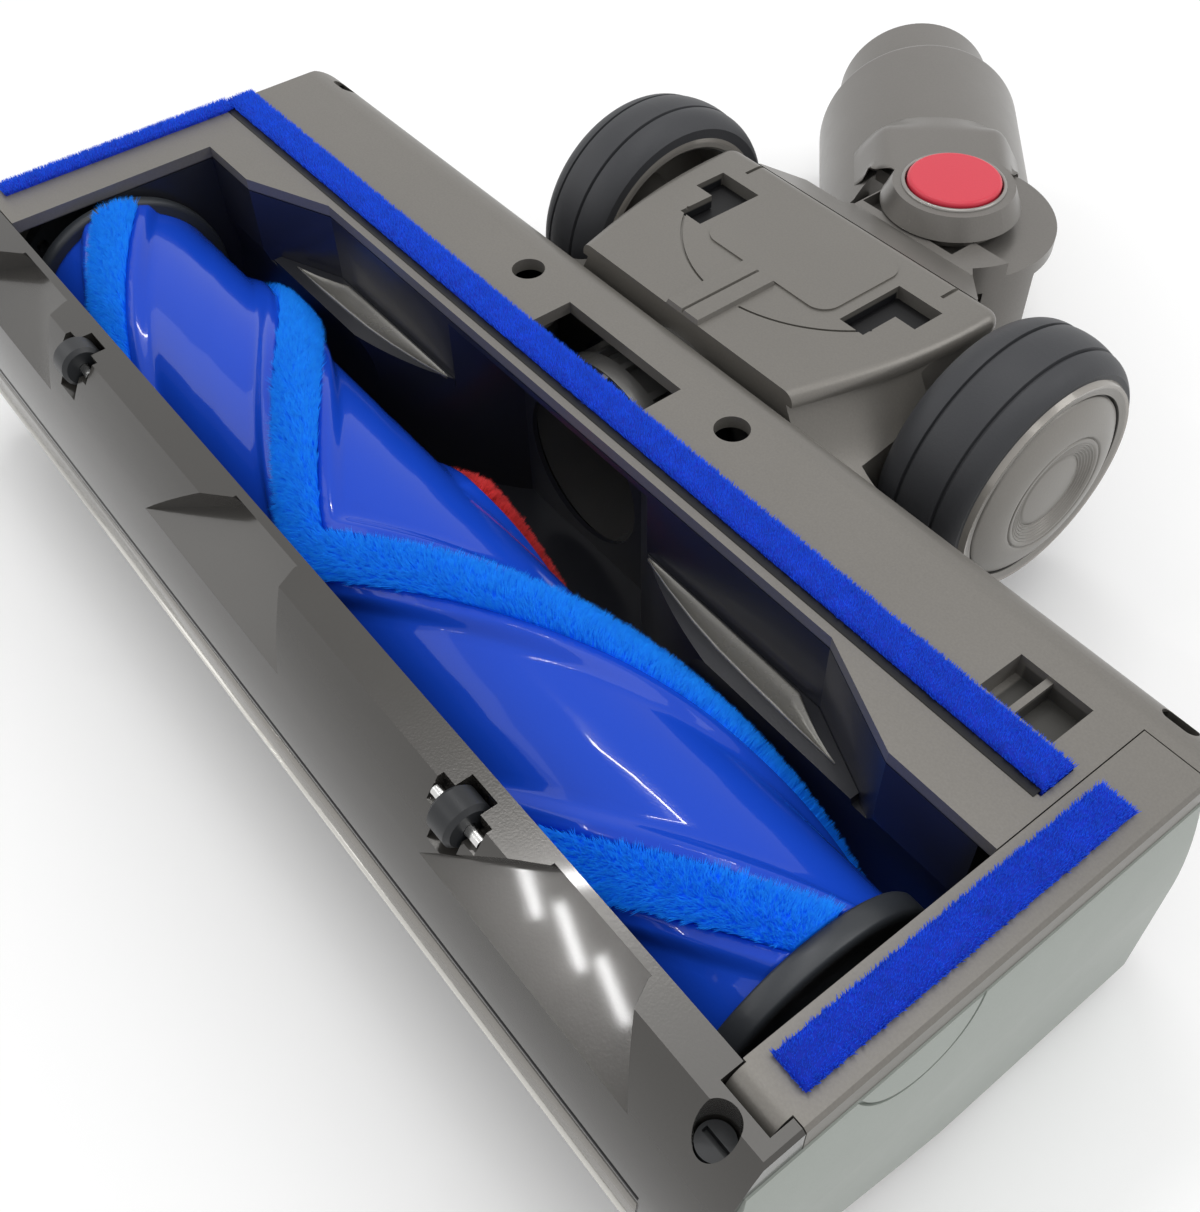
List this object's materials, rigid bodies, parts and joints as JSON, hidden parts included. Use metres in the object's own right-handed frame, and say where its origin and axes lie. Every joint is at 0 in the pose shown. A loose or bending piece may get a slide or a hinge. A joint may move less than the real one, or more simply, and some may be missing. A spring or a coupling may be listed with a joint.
{
  "type": "vacuum cleaner floor head",
  "caption": "Powered vacuum floor head lying sole up: chevron brush bar, velvet strips, rear wheels on a rolling carriage and a tilting, swivelling neck with a wand spigot.",
  "frame": {"origin": "point of the flat rest side under the brush axis, at the middle of the head", "axes": "+X along the brush towards the end cap, +Y towards the wheels and neck, +Z out of the sole"},
  "size_m": [0.25, 0.251, 0.063],
  "materials": {
    "sole_grey": "satin metallic grey",
    "visor_gloss": "polished metallic grey",
    "panel_grey": "light satin grey",
    "housing_grey": "satin dark grey",
    "liner_black": "gloss black",
    "velvet_blue": "short pile",
    "bristle_blue": "soft filament strip",
    "bristle_red": "soft filament strip",
    "core_blue": "gloss royal blue",
    "hub_black": "satin black",
    "steel": "ground bright",
    "motor_metal": "zinc plated",
    "board_green": "solder mask",
    "carriage_grey": "satin metallic grey",
    "cage_grey": "satin dark grey",
    "tyre_black": "soft satin",
    "wheel_grey": "turned metallic grey",
    "neck_grey": "satin metallic grey",
    "button_red": "satin pinkish red"
  },
  "bodies": {
    "head": {"main_housing": "housing_grey", "sole_plate": "sole_grey", "front_visor": "visor_gloss", "end_cap": "sole_grey", "end_cap_panel": "panel_grey", "left_side_panel": "panel_grey", "chamber_liner": "liner_black", "chamber_shelf": "panel_grey", "rear_velvet": "velvet_blue", "end_velvet": "velvet_blue", "left_velvet": "velvet_blue", "sole_screws": "steel", "brush_motor": "motor_metal", "motor_flange": "hub_black", "control_board": "board_green", "roller_pin_left": "steel", "roller_pin_right": "steel"},
    "brush": {"brush_core": "core_blue", "bristle_strip_blue_a": "bristle_blue", "bristle_strip_blue_b": "bristle_blue", "bristle_strip_red": "bristle_red", "brush_hub_right": "hub_black", "brush_hub_left": "hub_black", "drive_coupling": "hub_black"},
    "left_roller": {"roller_left": "hub_black"},
    "right_roller": {"roller_right": "hub_black"},
    "lock": {"coin_lock": "hub_black"},
    "carriage": {"duct_collar": "cage_grey", "collar_clip": "hub_black", "carriage_plate": "carriage_grey", "carriage_frame": "carriage_grey", "wheel_axle": "steel"},
    "left_wheel": {"tyre_left": "tyre_black", "hub_left": "wheel_grey", "hub_cap_left": "wheel_grey"},
    "right_wheel": {"tyre_right": "tyre_black", "hub_right": "wheel_grey", "hub_cap_right": "wheel_grey"},
    "elbow": {"neck_elbow": "neck_grey", "swivel_pins": "steel"},
    "tube": {"neck_tube": "neck_grey"},
    "button": {"release_button": "button_red"}
  },
  "joints": [
    {"name": "brush_spin", "type": "hinge", "parent": "head", "child": "brush", "pos_m": [0, 0, 0.032], "axis": [1, 0, 0], "continuous": true},
    {"name": "roller_left_spin", "type": "hinge", "parent": "head", "child": "left_roller", "pos_m": [-0.062, -0.0252, 0.0546], "axis": [1, 0, 0], "continuous": true},
    {"name": "roller_right_spin", "type": "hinge", "parent": "head", "child": "right_roller", "pos_m": [0.062, -0.0252, 0.0546], "axis": [1, 0, 0], "continuous": true},
    {"name": "coin_lock_turn", "type": "hinge", "parent": "head", "child": "lock", "pos_m": [0.1155, -0.0256, 0.0485], "axis": [0, 0, 1], "range_deg": [0, 90]},
    {"name": "carriage_roll", "type": "hinge", "parent": "head", "child": "carriage", "pos_m": [0, 0.055, 0.032], "axis": [0, 1, 0], "range_deg": [-12, 12]},
    {"name": "wheel_left_spin", "type": "hinge", "parent": "carriage", "child": "left_wheel", "pos_m": [-0.052, 0.1025, 0.0365], "axis": [1, 0, 0], "continuous": true},
    {"name": "wheel_right_spin", "type": "hinge", "parent": "carriage", "child": "right_wheel", "pos_m": [0.052, 0.1025, 0.0365], "axis": [1, 0, 0], "continuous": true},
    {"name": "neck_tilt", "type": "hinge", "parent": "carriage", "child": "elbow", "pos_m": [0, 0.1025, 0.0365], "axis": [-1, 0, 0], "range_deg": [0, 80]},
    {"name": "neck_swivel", "type": "hinge", "parent": "elbow", "child": "tube", "pos_m": [0, 0.1405, 0.0246], "axis": [0, 0, 1], "range_deg": [-106, 14]},
    {"name": "release_button_press", "type": "slide", "parent": "tube", "child": "button", "axis": [0, 0, -1], "range_m": [0, 0.002], "stiffness_N_per_m": 600}
  ]
}
